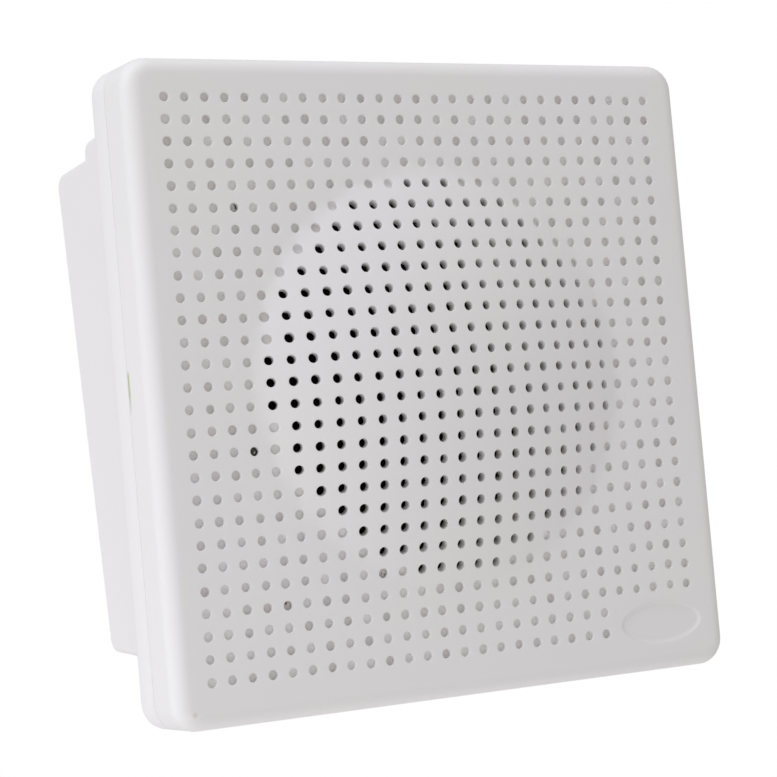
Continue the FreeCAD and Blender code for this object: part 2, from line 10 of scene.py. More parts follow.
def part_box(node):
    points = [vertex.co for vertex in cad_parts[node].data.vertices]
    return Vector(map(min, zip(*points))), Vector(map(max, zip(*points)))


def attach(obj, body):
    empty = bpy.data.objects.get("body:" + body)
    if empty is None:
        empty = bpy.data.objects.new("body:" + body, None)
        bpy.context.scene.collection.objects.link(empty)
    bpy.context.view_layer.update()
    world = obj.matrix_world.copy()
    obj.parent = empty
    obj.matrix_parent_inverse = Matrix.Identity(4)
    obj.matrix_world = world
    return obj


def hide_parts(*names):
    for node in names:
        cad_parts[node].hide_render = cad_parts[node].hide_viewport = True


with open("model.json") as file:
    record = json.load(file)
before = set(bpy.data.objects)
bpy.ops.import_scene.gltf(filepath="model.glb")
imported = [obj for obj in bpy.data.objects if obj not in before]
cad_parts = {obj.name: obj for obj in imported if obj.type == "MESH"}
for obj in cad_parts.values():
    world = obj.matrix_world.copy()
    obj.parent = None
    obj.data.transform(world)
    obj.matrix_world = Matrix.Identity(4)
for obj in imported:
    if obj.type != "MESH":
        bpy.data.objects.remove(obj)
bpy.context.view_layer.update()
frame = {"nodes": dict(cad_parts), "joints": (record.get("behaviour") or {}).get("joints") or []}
nodes = frame["nodes"]

# Rear housing
# The back half of the case: a shallow rim, a flange and a wedge-shaped box whose back lies flat on the
# wall. It is one injection moulding in white ABS with a satin skin, held to the front by four screws.
mm = 0.001
abs_white = "#F0EEEF"
abs_aged = "#EFEEEC"
abs_cloud = 60.0
abs_cloud_range = (0.35, 0.75)
abs_grain = 0.6
abs_roughness = (0.4, 0.52)
abs_relief = 0.1
abs_relief_share = 0.05
abs_ior = 1.53
smooth_angle = math.radians(40)


def srgb(code):
    """A hex colour as the linear RGBA that a shader socket takes."""
    channels = [int(code[i : i + 2], 16) / 255 for i in (1, 3, 5)]
    return [c / 12.92 if c <= 0.04045 else ((c + 0.055) / 1.055) ** 2.4 for c in channels] + [1.0]


def add_node(tree, kind, inputs=(), links=(), **settings):
    """A shader node with its settings, the values on its sockets and the links into them."""
    node = tree.nodes.new("ShaderNode" + kind)
    for name, value in settings.items():
        setattr(node, name, value)
    for socket, value in dict(inputs).items():
        node.inputs[socket].default_value = value
    for socket, source in dict(links).items():
        tree.links.new(source, node.inputs[socket])
    return node


def new_material(name):
    """An empty material with its node tree and the Object coordinates that its patterns read."""
    material = bpy.data.materials.new(name)
    material.use_nodes = True
    tree = material.node_tree
    tree.nodes.clear()
    place = add_node(tree, "TexCoord").outputs["Object"]
    return material, tree, place


def white_abs(name):
    """Moulded ABS: near white, a little clouded with age, with the soft sheen of a fine spark-eroded skin."""
    material, tree, place = new_material(name)
    cloud = add_node(tree, "TexNoise", {"Scale": 1 / (abs_cloud * mm), "Detail": 3.0}, {"Vector": place})
    share = add_node(
        tree,
        "MapRange",
        {"From Min": abs_cloud_range[0], "From Max": abs_cloud_range[1]},
        {"Value": cloud.outputs["Fac"]},
    )
    tone = add_node(
        tree,
        "Mix",
        {"A": srgb(abs_white), "B": srgb(abs_aged)},
        {"Factor": share.outputs["Result"]},
        data_type="RGBA",
    )
    grain = add_node(tree, "TexNoise", {"Scale": 1 / (abs_grain * mm), "Detail": 2.0}, {"Vector": place})
    sheen = add_node(
        tree,
        "MapRange",
        {"To Min": abs_roughness[0], "To Max": abs_roughness[1]},
        {"Value": grain.outputs["Fac"]},
    )
    bump = add_node(
        tree,
        "Bump",
        {"Strength": abs_relief_share, "Distance": abs_relief * mm},
        {"Height": grain.outputs["Fac"]},
    )
    surface = add_node(
        tree,
        "BsdfPrincipled",
        {"IOR": abs_ior},
        {
            "Base Color": tone.outputs["Result"],
            "Roughness": sheen.outputs["Result"],
            "Normal": bump.outputs["Normal"],
        },
    )
    add_node(tree, "OutputMaterial", {}, {"Surface": surface.outputs["BSDF"]})
    return material, tree, tone, surface


def start(piece):
    """Make one object the only selected and active one."""
    bpy.ops.object.select_all(action="DESELECT")
    piece.select_set(True)
    bpy.context.view_layer.objects.active = piece


def merged_copy(node, name):
    """A copy of a CAD node with its loose triangles merged, for a smooth skin."""
    piece = bpy.data.objects.new(name, nodes[node].data.copy())
    bpy.context.scene.collection.objects.link(piece)
    start(piece)
    bpy.ops.object.mode_set(mode="EDIT")
    bpy.ops.mesh.select_all(action="SELECT")
    bpy.ops.mesh.remove_doubles(threshold=0.001 * mm)
    bpy.ops.object.mode_set(mode="OBJECT")
    return piece


def soften(piece):
    """Smooth shading with the large flat faces kept flat."""
    start(piece)
    bpy.ops.object.shade_smooth_by_angle(angle=smooth_angle)
    weighted = piece.modifiers.new("flats", "WEIGHTED_NORMAL")
    weighted.keep_sharp = True
    bpy.ops.object.modifier_apply(modifier=weighted.name)


def fit(piece, material, body, node):
    """Finish a new piece: its material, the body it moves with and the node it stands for."""
    piece.data.materials.clear()
    piece.data.materials.append(material)
    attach(piece, body)
    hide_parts(node)


rear = merged_copy("rear_housing", "rear_housing_moulding")
soften(rear)
rear_abs = white_abs("moulded white ABS, rear")[0]
fit(rear, rear_abs, "housing", "rear_housing")

# Cable grommet
# A soft rubber bush in the cable inlet of the back, with a flange on each side of the wall. It is moulded
# in black rubber and pressed in from outside.
grommet_bore = 4.0
grommet_barrel = 5.8
grommet_flange = 8.1
flange_thickness = 1.3
inlet_web = 3.0
soft_edge = 0.45
spin_steps = 48
grain_relief_share = 0.4
grommet_low, grommet_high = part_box("cable_grommet")


def mottled(name, tones, grain, roughness, relief, metallic=0.0, ior=1.5):
    """A finish in two close tones, with a grain in millimetres that shows in tone, gloss and relief."""
    material, tree, place = new_material(name)
    speck = add_node(tree, "TexNoise", {"Scale": 1 / (grain * mm), "Detail": 4.0}, {"Vector": place})
    tone = add_node(
        tree,
        "Mix",
        {"A": srgb(tones[0]), "B": srgb(tones[1])},
        {"Factor": speck.outputs["Fac"]},
        data_type="RGBA",
    )
    gloss = add_node(
        tree, "MapRange", {"To Min": roughness[0], "To Max": roughness[1]}, {"Value": speck.outputs["Fac"]}
    )
    bump = add_node(
        tree,
        "Bump",
        {"Strength": grain_relief_share, "Distance": relief * mm},
        {"Height": speck.outputs["Fac"]},
    )
    surface = add_node(
        tree,
        "BsdfPrincipled",
        {"Metallic": metallic, "IOR": ior},
        {
            "Base Color": tone.outputs["Result"],
            "Roughness": gloss.outputs["Result"],
            "Normal": bump.outputs["Normal"],
        },
    )
    add_node(tree, "OutputMaterial", {}, {"Surface": surface.outputs["BSDF"]})
    return material


def new_mesh(name):
    """A new empty piece in edit mode."""
    piece = bpy.data.objects.new(name, bpy.data.meshes.new(name))
    bpy.context.scene.collection.objects.link(piece)
    start(piece)
    bpy.ops.object.mode_set(mode="EDIT")
    return piece


def eased(corners, ease, steps=4):
    """A closed outline of (radius, height) corners with each corner that is off the axis rounded."""
    outline = []
    for index, corner in enumerate(corners):
        here = Vector(corner)
        sides = [Vector(corners[index - 1]) - here, Vector(corners[(index + 1) % len(corners)]) - here]
        if here.x == 0:
            outline.append(here)
            continue
        first, last = [here + side.normalized() * min(ease, 0.4 * side.length) for side in sides]
        for step in range(steps + 1):
            share = step / steps
            outline.append(first.lerp(here, share).lerp(here.lerp(last, share), share))
    return outline


def spun(name, outline):
    """A solid spun about Z from a closed outline of (radius, height) points in millimetres."""
    piece = new_mesh(name)
    bpy.ops.mesh.primitive_circle_add(vertices=len(outline), radius=1)
    shape = bmesh.from_edit_mesh(piece.data)
    for corner, place in zip(shape.verts, outline):
        corner.co = (place.x * mm, 0, place.y * mm)
    bmesh.update_edit_mesh(piece.data)
    bpy.ops.mesh.spin(steps=spin_steps, angle=2 * math.pi, center=(0, 0, 0), axis=(0, 0, 1))
    bpy.ops.mesh.select_all(action="SELECT")
    bpy.ops.mesh.remove_doubles(threshold=0.001 * mm)
    bpy.ops.mesh.normals_make_consistent(inside=False)
    bpy.ops.object.mode_set(mode="OBJECT")
    return piece


grommet = spun(
    "cable_grommet_bush",
    eased(
        [
            (grommet_bore, 0),
            (grommet_flange, 0),
            (grommet_flange, flange_thickness),
            (grommet_barrel, flange_thickness),
            (grommet_barrel, flange_thickness + inlet_web),
            (grommet_flange, flange_thickness + inlet_web),
            (grommet_flange, 2 * flange_thickness + inlet_web),
            (grommet_bore, 2 * flange_thickness + inlet_web),
        ],
        soft_edge,
    ),
)
inlet_height = (grommet_low[2] + grommet_high[2]) / 2
grommet.data.transform(
    Matrix.Translation((0, grommet_high[1], inlet_height)) @ Matrix.Rotation(math.pi / 2, 4, "X")
)
soften(grommet)
# Moulded rubber: nearly black, dull, with the faint bloom that rubber gets.
black_rubber = mottled("moulded black rubber", ("#161616", "#2A2A29"), 1.2, (0.55, 0.75), 0.05, ior=1.52)
fit(grommet, black_rubber, "housing", "cable_grommet")

# Terminal block
# A three-way block inside the back, where the line is connected: a moulded nylon body, brass tubes that
# take the wires, plated screws that clamp them, and two more screws that hold the block to its bosses.


def dress(finish, *names):
    """Give CAD nodes their finish."""
    for name in names:
        for slot in nodes[name].material_slots:
            slot.material = finish


# Moulded nylon: milky and slightly yellow, with a soft gloss.
natural_nylon = mottled("moulded natural nylon", ("#E6E2D6", "#D8D2C2"), 4.0, (0.35, 0.5), 0.02, ior=1.53)
# Turned brass: warm yellow metal with fine tool marks that blur its gloss.
turned_brass = mottled("turned brass", ("#C9A557", "#B08A3E"), 0.8, (0.22, 0.4), 0.02, metallic=1.0)
# Zinc plate on steel: a grey metal with a slight blue, dulled by small crystals.
zinc_plate = mottled("zinc plated steel", ("#B9BBBD", "#9A9C9E"), 0.7, (0.28, 0.45), 0.015, metallic=1.0)
dress(natural_nylon, "terminal_block", "transformer_bobbin")
dress(turned_brass, "terminal_clamps", "solder_tags")
dress(zinc_plate, "terminal_clamp_screws", "terminal_block_screws")

# Line transformer
# The small transformer that takes the line voltage down to the driver: stacked steel plates around a
# wound bobbin, held by a bent steel strap with two screws.
plate_thickness = 0.5
wire_thickness = 0.35
wave_turn = math.pi / 10


def banded(name, tones, spacing, direction, roughness):
    """Bare metal in fine parallel lines at a spacing in millimetres, as in stacked plates or wound wire."""
    material, tree, place = new_material(name)
    lines = add_node(
        tree,
        "TexWave",
        {"Scale": wave_turn / (spacing * mm), "Distortion": 0.4, "Detail": 1.0},
        {"Vector": place},
        bands_direction=direction,
    )
    tone = add_node(
        tree,
        "Mix",
        {"A": srgb(tones[0]), "B": srgb(tones[1])},
        {"Factor": lines.outputs["Fac"]},
        data_type="RGBA",
    )
    bump = add_node(
        tree, "Bump", {"Strength": 0.6, "Distance": 0.3 * spacing * mm}, {"Height": lines.outputs["Fac"]}
    )
    surface = add_node(
        tree,
        "BsdfPrincipled",
        {"Metallic": 1.0, "Roughness": roughness},
        {"Base Color": tone.outputs["Result"], "Normal": bump.outputs["Normal"]},
    )
    add_node(tree, "OutputMaterial", {}, {"Surface": surface.outputs["BSDF"]})
    return material


# Stacked silicon steel: dark grey edges of thin plates, each line a plate.
plate_stack = banded("stacked silicon steel", ("#3A3B3D", "#6A6B6D"), plate_thickness, "Z", 0.5)
# Enamelled copper wire: reddish brown turns side by side under clear enamel.
wound_copper = banded("enamelled copper wire", ("#6B2F17", "#B8683A"), wire_thickness, "Y", 0.3)
dress(plate_stack, "transformer_core")
dress(wound_copper, "transformer_winding", "voice_coil_winding")
dress(zinc_plate, "transformer_strap", "transformer_screws")

# Front grille
# The square front moulding: a domed middle over the driver and a square grid of round holes. The holes
# go through over the driver and are shallow pits elsewhere; an oval place in one corner has none.
face_low, face_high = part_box("front_grille")
face_half = (face_high[0] - face_low[0]) / 2
corner_round = 9.0 * mm
edge_round = 5.5 * mm
edge_steps = 7
front_wall = 3.4 * mm
side_wall = 2.5 * mm
seam_depth = 16.3 * mm
seam_break = 0.15 * mm
hole_pitch = 7.05 * mm
hole_radius = 1.5 * mm
hole_sides = 16
mouth_round = 0.42 * mm
pit_depth = 1.5 * mm
grid_reach = 13
grid_shift = Vector((-0.8 * mm, 0.8 * mm, 0))
open_field = 64.8 * mm
dome_height = 11.0 * mm
dome_radius = 68.5 * mm
dome_blend = 10.0 * mm
oval_columns = 5
oval_rows = 2
oval_size = Vector((33.6 * mm, 14.5 * mm))
oval_shift = Vector((1.9 * mm, -1.75 * mm, 0))
oval_depth = 0.7 * mm
oval_slope = 1.8 * mm
oval_steps = 5
oval_room = 2.6 * mm
hole_scatter = 0.07 * mm
hole_spread = 0.03
hair = 0.001 * mm
box_depth = 102.0 * mm
tilt = math.asin(-frame["joints"][0]["axis"][2])
upright = Matrix.Rotation(math.pi / 2, 4, "X")
on_the_wall = Matrix.Rotation(tilt, 4, "X") @ Matrix.Translation((0, -box_depth, 0)) @ upright
grid_half = (grid_reach + 0.5) * hole_pitch
# Pits that hold more dirt; the same amount also scales the painted shade down in them.
dirty_pits = {(-10, 8): 1.6, (-10, -3): 2.6, (-4, -9): 1.6, (-9, -10): 1.6}


def select_edges(piece, wanted, bare=False):
    """In edit mode, select only the edges whose ends pass a test of their place; bare ones have one face."""
    bpy.ops.mesh.select_mode(type="EDGE")
    bpy.ops.mesh.select_all(action="DESELECT")
    shape = bmesh.from_edit_mesh(piece.data)
    for edge in shape.edges:
        edge.select_set(all(wanted(end.co) for end in edge.verts) and (edge.is_boundary or not bare))
    bmesh.update_edit_mesh(piece.data)


def open_outline(width, height, depth):
    """In edit mode, add the bare outline of a tile, divided as the hole cells are."""
    across = round(width / hole_pitch) * hole_sides // 4
    up = round(height / hole_pitch) * hole_sides // 4
    bpy.ops.mesh.primitive_grid_add(x_subdivisions=across, y_subdivisions=up, size=1, location=(0, 0, -depth))
    bpy.ops.transform.resize(value=(width, height, 1))
    bpy.ops.mesh.select_mode(type="VERT")
    shape = bmesh.from_edit_mesh(bpy.context.object.data)
    for corner in shape.verts:
        if corner.select:
            x, y = abs(corner.co.x), abs(corner.co.y)
            corner.select_set(x < width / 2 - hair and y < height / 2 - hair)
    shape.select_flush_mode()
    bmesh.update_edit_mesh(bpy.context.object.data)
    bpy.ops.mesh.delete(type="VERT")


def holed_square(depth):
    """In edit mode, add one square of the grid at a depth, with a round hole in it."""
    open_outline(hole_pitch, hole_pitch, depth)
    bpy.ops.mesh.primitive_circle_add(vertices=hole_sides, radius=hole_radius, location=(0, 0, -depth))
    select_edges(bpy.context.object, lambda place: abs(place.z + depth) < hair)
    bpy.ops.mesh.bridge_edge_loops()


def hole_cell(name, depth):
    """One square of the grid with its hole: a pit with a floor, or open where the depth is the whole wall."""
    cell = new_mesh(name)
    in_hole = hole_radius + hair
    holed_square(0)
    if depth < front_wall:
        select_edges(cell, lambda place: place.length < in_hole)
        bpy.ops.mesh.extrude_edges_move(TRANSFORM_OT_translate={"value": (0, 0, -depth)})
        bpy.ops.mesh.edge_face_add()
        open_outline(hole_pitch, hole_pitch, front_wall)
        select_edges(cell, lambda place: place.z < hair - front_wall)
        bpy.ops.mesh.edge_face_add()
    else:
        holed_square(front_wall)
        select_edges(cell, lambda place: place.xy.length < in_hole)
        bpy.ops.mesh.bridge_edge_loops()
    bpy.ops.mesh.select_all(action="SELECT")
    bpy.ops.mesh.normals_make_consistent(inside=False)
    select_edges(cell, lambda place: place.length < in_hole)
    bpy.ops.mesh.bevel(offset=mouth_round, segments=2, affect="EDGES")
    bpy.ops.object.mode_set(mode="OBJECT")
    return cell


def oval_place():
    """The plain corner of the grid, with the shallow sunk oval where a badge would sit."""
    width = oval_columns * hole_pitch
    height = oval_rows * hole_pitch
    plate = new_mesh("oval_place")
    open_outline(width, height, 0)
    shape = bmesh.from_edit_mesh(plate.data)
    for corner in shape.verts:
        x, y = corner.co.xy
        if x > width / 2 - hair:
            corner.co.x += oval_room * min(1, (height / 2 - y) / (hole_pitch / 2))
        if y < hair - height / 2:
            corner.co.y -= oval_room * min(1, (x + width / 2) / (hole_pitch / 2))
    bmesh.update_edit_mesh(plate.data)
    sides = (oval_columns + oval_rows) * hole_sides // 2
    bpy.ops.mesh.primitive_circle_add(vertices=sides, radius=0.5)
    bpy.ops.transform.resize(value=(*oval_size, 1))
    bpy.ops.transform.translate(value=oval_shift)
    bpy.ops.mesh.select_all(action="SELECT")
    bpy.ops.mesh.bridge_edge_loops()

    def in_oval(place):
        """Whether a point lies on the oval or inside it."""
        across, up = (place - oval_shift).xy
        return math.hypot(across / oval_size.x, up / oval_size.y) < 0.5 + hair

    select_edges(plate, in_oval)
    size = oval_size
    for step in range(1, oval_steps + 1):
        bpy.ops.mesh.extrude_edges_move()
        share = step / oval_steps
        depth = oval_depth * (1 - (1 - share) ** 2)
        narrower = oval_size - Vector((2, 2)) * oval_slope * share
        shape = bmesh.from_edit_mesh(plate.data)
        for corner in shape.verts:
            if corner.select:
                across, up = (corner.co - oval_shift).xy
                flat = Vector((across * narrower.x / size.x, up * narrower.y / size.y, -depth))
                corner.co = flat + oval_shift
        bmesh.update_edit_mesh(plate.data)
        size = narrower
    bpy.ops.mesh.edge_face_add()
    open_outline(width, height, front_wall)
    select_edges(plate, lambda place: place.z < hair - front_wall)
    bpy.ops.mesh.edge_face_add()
    bpy.ops.object.mode_set(mode="OBJECT")
    middle = Vector((grid_reach - (oval_columns - 1) / 2, (oval_rows - 1) / 2 - grid_reach, 0))
    plate.data.transform(Matrix.Translation(grid_shift + middle * hole_pitch))
    return plate


def face_rise(radius):
    """How far the outside of the face stands out at a distance from the driver axis."""
    sphere = (dome_radius**2 + dome_height**2) / (2 * dome_height)
    centre = sphere - dome_height
    foot = math.sqrt((sphere + dome_blend) ** 2 - (centre + dome_blend) ** 2)
    if radius >= foot:
        return 0.0
    if radius > sphere * foot / (sphere + dome_blend):
        return dome_blend - math.sqrt(dome_blend**2 - (foot - radius) ** 2)
    return math.sqrt(sphere**2 - radius**2) - centre


def domed(place):
    """Where a point of the flat sheet goes on the face, with its depth square to the dome."""
    radius = max(hair, place.xy.length)
    slope = (face_rise(radius + hair) - face_rise(radius)) / hair
    square = Vector((*(place.xy * -slope / radius), 1)).normalized()
    return Vector((*place.xy, face_rise(radius))) + square * place.z


def hole_grid():
    """The whole grid as one sheet: a copy of a cell at each place, with the small scatter of a mould."""
    pit = hole_cell("pit_cell", pit_depth)
    through = hole_cell("open_cell", front_wall)
    draw = random.Random(27)
    cells = [oval_place()]
    for column in range(-grid_reach, grid_reach + 1):
        for row in range(-grid_reach, grid_reach + 1):
            if column > grid_reach - oval_columns and row < oval_rows - grid_reach:
                continue
            place = grid_shift + Vector((column, row, 0)) * hole_pitch
            model = through if place.length <= open_field else pit
            cell = bpy.data.objects.new("cell", model.data.copy())
            bpy.context.scene.collection.objects.link(cell)
            slip = Vector((draw.gauss(0, hole_scatter), draw.gauss(0, hole_scatter), 0))
            size = 1 + draw.gauss(0, hole_spread)
            # Painted shade with a dust tint: each hole's mark grows with depth below the face, so walls and
            # floor darken inwards; its strength per cell is partly a dirt amount.
            dirt_and_shade = dirty_pits.get((column, row), draw.uniform(0.1, 1.0))
            dust_and_depth_shade = cell.data.attributes.new("hole_dust_and_depth_shade", "FLOAT", "POINT").data
            for corner, mark in zip(cell.data.vertices, dust_and_depth_shade):
                if max(abs(corner.co.x), abs(corner.co.y)) < hole_pitch / 2 - hair:
                    mark.value = dirt_and_shade * -corner.co.z / pit_depth
                    corner.co = Vector((corner.co.x * size, corner.co.y * size, corner.co.z)) + slip
            cell.data.transform(Matrix.Translation(place))
            cells.append(cell)
    for model in (pit, through):
        bpy.data.objects.remove(model)
    start(cells[1])
    for cell in cells:
        cell.select_set(True)
    bpy.ops.object.join()
    bpy.ops.object.mode_set(mode="EDIT")
    bpy.ops.mesh.select_all(action="SELECT")
    bpy.ops.mesh.remove_doubles(threshold=5 * hair)
    return bpy.context.object


def outline_point(run, half, radius):
    """A point on a square with round corners: run is -1 to 1 on the first side, 1 to 3 on the next."""
    side = round(run / 2)
    straight = half - radius
    length = (run - 2 * side) * (straight + radius * math.pi / 4)
    turn = max(0.0, abs(length) - straight) / radius
    along = min(abs(length), straight) + radius * math.sin(turn)
    out = straight + radius * math.cos(turn)
    return Matrix.Rotation(side * math.pi / 2, 2) @ Vector((math.copysign(along, length), -out))


def shell_profile():
    """The section of the tray, from the edge of the face round to the inside, as (half, corner, depth)."""
    quarter = [math.pi / 2 * step / edge_steps for step in range(edge_steps + 1)]
    inner_round = edge_round - side_wall
    outer = [
        (
            face_half - edge_round * (1 - math.sin(turn)),
            corner_round - edge_round * (1 - math.sin(turn)),
            edge_round * (1 - math.cos(turn)),
        )
        for turn in quarter
    ]
    inner = [
        (
            face_half - side_wall - inner_round * (1 - math.sin(turn)),
            corner_round - side_wall - inner_round * (1 - math.sin(turn)),
            front_wall + inner_round * (1 - math.cos(turn)),
        )
        for turn in reversed(quarter)
    ]
    rim = [
        (face_half, corner_round, seam_depth - seam_break),
        (face_half - seam_break, corner_round - seam_break, seam_depth),
        (face_half - side_wall, corner_round - side_wall, seam_depth),
    ]
    return outer + rim + inner


def border_run(place):
    """How far round the edge of the grid a point lies, counted as outline_point counts it."""
    x, y = [max(-1, min(1, share)) for share in ((place - grid_shift) / grid_half).xy]
    if abs(y) > abs(x):
        return x if y < 0 else 4 - x
    return 2 + y if x > 0 else 6 - y


grille = hole_grid()
grille.name = "front_grille_moulding"
select_edges(grille, lambda place: place.z > -hair, bare=True)
shape = bmesh.from_edit_mesh(grille.data)
runs = shape.verts.layers.float.new("border_run")
for corner in shape.verts:
    if corner.select:
        corner[runs] = border_run(corner.co)
bmesh.update_edit_mesh(grille.data)
for half, radius, depth in shell_profile():
    bpy.ops.mesh.extrude_edges_move()
    shape = bmesh.from_edit_mesh(grille.data)
    runs = shape.verts.layers.float["border_run"]
    for corner in shape.verts:
        if corner.select:
            corner.co = (*outline_point(corner[runs], half, radius), -depth)
    bmesh.update_edit_mesh(grille.data)
select_edges(grille, lambda place: True, bare=True)
bpy.ops.mesh.bridge_edge_loops()
shape = bmesh.from_edit_mesh(grille.data)
for corner in shape.verts:
    corner.co = domed(corner.co)
bmesh.update_edit_mesh(grille.data)
bpy.ops.mesh.select_all(action="SELECT")
bpy.ops.mesh.normals_make_consistent(inside=False)
bpy.ops.object.mode_set(mode="OBJECT")
grille.data.attributes.remove(grille.data.attributes["border_run"])

# Inside the front: the ring that the driver sits on, four bosses for its screws and four for the case.
root = front_wall / mm / 2
rib_inner = 66.9
rib_outer = 71.9
rib_end = 10.0
rib_ease = 0.4
driver_boss = 4.0
driver_boss_end = 12.0
driver_boss_place = 76.2 * mm * math.sqrt(0.5)
case_boss = 4.5
case_boss_end = 16.5
case_boss_place = face_half - 11.0 * mm
pilot = 1.7
pilot_end = front_wall / mm
boss_ease = 0.3
rib = [(rib_inner, -root), (rib_inner, -rib_end), (rib_outer, -rib_end), (rib_outer, -root)]
inside = [spun("rib", eased(rib, rib_ease))]
for radius, end, place in (
    (driver_boss, driver_boss_end, driver_boss_place),
    (case_boss, case_boss_end, case_boss_place),
):
    outside = [(0, -root), (radius, -root), (radius, -end)]
    bore = [(pilot, -end), (pilot, -pilot_end), (0, -pilot_end)]
    boss = spun("boss", eased(outside + bore, boss_ease))
    for right, up in ((-1, -1), (1, -1), (-1, 1), (1, 1)):
        copy = bpy.data.objects.new("boss", boss.data.copy())
        bpy.context.scene.collection.objects.link(copy)
        copy.data.transform(Matrix.Translation((right * place, up * place, 0)))
        inside.append(copy)
    bpy.data.objects.remove(boss)
start(grille)
for part in inside:
    part.select_set(True)
bpy.ops.object.join()
grille.data.transform(on_the_wall)
soften(grille)

# The same ABS, with dust in the holes and painted shade that darkens them towards their bottoms: grey, here
# more brown and there more green.
# A few pits hold dark specks of dirt.
brown_dust_and_shade = "#A3968D"
green_dust_and_shade = "#999B8C"
dark_dirt = "#3A342E"
dust_patch = 9.0
dust_patch_range = (0.4, 0.6)
depth_shade_full = 3.0
depth_shade_most = 0.9
dirt_speck = 1.1
dirt_speck_range = (0.85, 1.05)
front_abs, front_tree, front_tone, front_surface = white_abs("moulded white ABS, front")
front_place = add_node(front_tree, "TexCoord").outputs["Object"]
dust_and_depth_shade = add_node(front_tree, "Attribute", attribute_name="hole_dust_and_depth_shade").outputs["Fac"]
patch = add_node(front_tree, "TexNoise", {"Scale": 1 / (dust_patch * mm)}, {"Vector": front_place})
patch_share = add_node(
    front_tree,
    "MapRange",
    {"From Min": dust_patch_range[0], "From Max": dust_patch_range[1]},
    {"Value": patch.outputs["Fac"]},
)
dust_and_shade_tone = add_node(
    front_tree,
    "Mix",
    {"A": srgb(brown_dust_and_shade), "B": srgb(green_dust_and_shade)},
    {"Factor": patch_share.outputs["Result"]},
    data_type="RGBA",
)
# Painted shade with a dust tint: the depth mark darkens the holes towards their bottoms.
dust_and_shade_share = add_node(front_tree, "MapRange", {"From Max": depth_shade_full, "To Max": depth_shade_most}, {"Value": dust_and_depth_shade})
dusty_and_shaded = add_node(
    front_tree,
    "Mix",
    {},
    {"A": front_tone.outputs["Result"], "B": dust_and_shade_tone.outputs["Result"], "Factor": dust_and_shade_share.outputs["Result"]},
    data_type="RGBA",
)
speck = add_node(front_tree, "TexNoise", {"Scale": 1 / (dirt_speck * mm)}, {"Vector": front_place})
thick = add_node(front_tree, "Math", {}, {0: speck.outputs["Fac"], 1: dust_and_depth_shade}, operation="MULTIPLY")
speck_share = add_node(
    front_tree,
    "MapRange",
    {"From Min": dirt_speck_range[0], "From Max": dirt_speck_range[1]},
    {"Value": thick.outputs["Value"]},
)
front_colour = add_node(
    front_tree,
    "Mix",
    {"B": srgb(dark_dirt)},
    {"A": dusty_and_shaded.outputs["Result"], "Factor": speck_share.outputs["Result"]},
    data_type="RGBA",
)

# A green stain has run along the seam on the left side, and there is a small brown spot low on the face.
stain_green = "#BCCBA2"
stain_edges = (
    ("X", -face_half + 0.8 * mm, -face_half + 0.2 * mm),
    ("Y", seam_depth - 1.9 * mm, seam_depth - 1.0 * mm),
    ("Z", 8.6 * mm, 6.6 * mm),
    ("Z", -6.4 * mm, 0.6 * mm),
)
spot_brown = "#C9B9A6"
spot_place = (-99.3 * mm, 0, -100.1 * mm)
spot_reach = 1.1 * mm
spot_core = 0.33 * mm
spot_most = 0.4
on_face = add_node(
    front_tree,
    "Mapping",
    {"Location": (0, box_depth, 0), "Rotation": (-tilt, 0, 0)},
    {"Vector": front_place},
)
face_place = add_node(front_tree, "SeparateXYZ", {}, {"Vector": on_face.outputs["Vector"]})
fades = [
    add_node(
        front_tree, "MapRange", {"From Min": bare, "From Max": full}, {"Value": face_place.outputs[axis]}
    )
    for axis, bare, full in stain_edges
]
stain = fades[0].outputs["Result"]
for fade in fades[1:]:
    both = add_node(front_tree, "Math", {}, {0: stain, 1: fade.outputs["Result"]}, operation="MULTIPLY")
    stain = both.outputs["Value"]
stained = add_node(
    front_tree,
    "Mix",
    {"B": srgb(stain_green)},
    {"A": front_colour.outputs["Result"], "Factor": stain},
    data_type="RGBA",
)
reach = add_node(
    front_tree, "VectorMath", {1: spot_place}, {0: on_face.outputs["Vector"]}, operation="DISTANCE"
)
spot = add_node(
    front_tree,
    "MapRange",
    {"From Min": spot_reach, "From Max": spot_core, "To Max": spot_most},
    {"Value": reach.outputs["Value"]},
)
spotted = add_node(
    front_tree,
    "Mix",
    {"B": srgb(spot_brown)},
    {"A": stained.outputs["Result"], "Factor": spot.outputs["Result"]},
    data_type="RGBA",
)
front_tree.links.new(spotted.outputs["Result"], front_surface.inputs["Base Color"])
fit(grille, front_abs, "housing", "front_grille")

# Driver frame and motor
# The frame is pressed from sheet steel and painted black; it sits on a foam ring and four screws hold it.
# On its back are the steel top plate, the ferrite ring and the yoke of the motor.
# Closed cell foam: charcoal grey and quite dull.
grey_foam = mottled("closed cell foam", ("#2B2B2C", "#3D3D3E"), 0.8, (0.85, 0.95), 0.2, ior=1.4)
# Black paint on pressed steel: a thin coat with some orange peel.
black_paint = mottled("black painted steel", ("#0F0F10", "#1B1B1C"), 1.5, (0.3, 0.45), 0.03, ior=1.5)
# Sintered ferrite: a charcoal ceramic, ground flat and slightly shiny.
ferrite = mottled("sintered ferrite", ("#26262A", "#3A3A3E"), 0.5, (0.35, 0.55), 0.02, ior=2.2)
dress(grey_foam, "driver_gasket")
dress(black_paint, "driver_basket")
dress(ferrite, "magnet")
dress(zinc_plate, "top_plate", "pole_yoke", "driver_screws")

# Cone and suspension
# The moving part of the driver: a paper cone with a paper cap, glued to the tube of the voice coil. A
# rubber roll holds its edge and a waved cloth disc its neck.
# Pressed paper: soft black with fibres that show as small lighter flecks.
cone_paper = mottled("pressed black paper", ("#121212", "#232322"), 0.9, (0.75, 0.9), 0.06, ior=1.47)
# Kraft paper: a brown wound tube.
kraft_paper = mottled("wound kraft paper", ("#8A6B47", "#75583A"), 1.5, (0.6, 0.8), 0.03, ior=1.47)
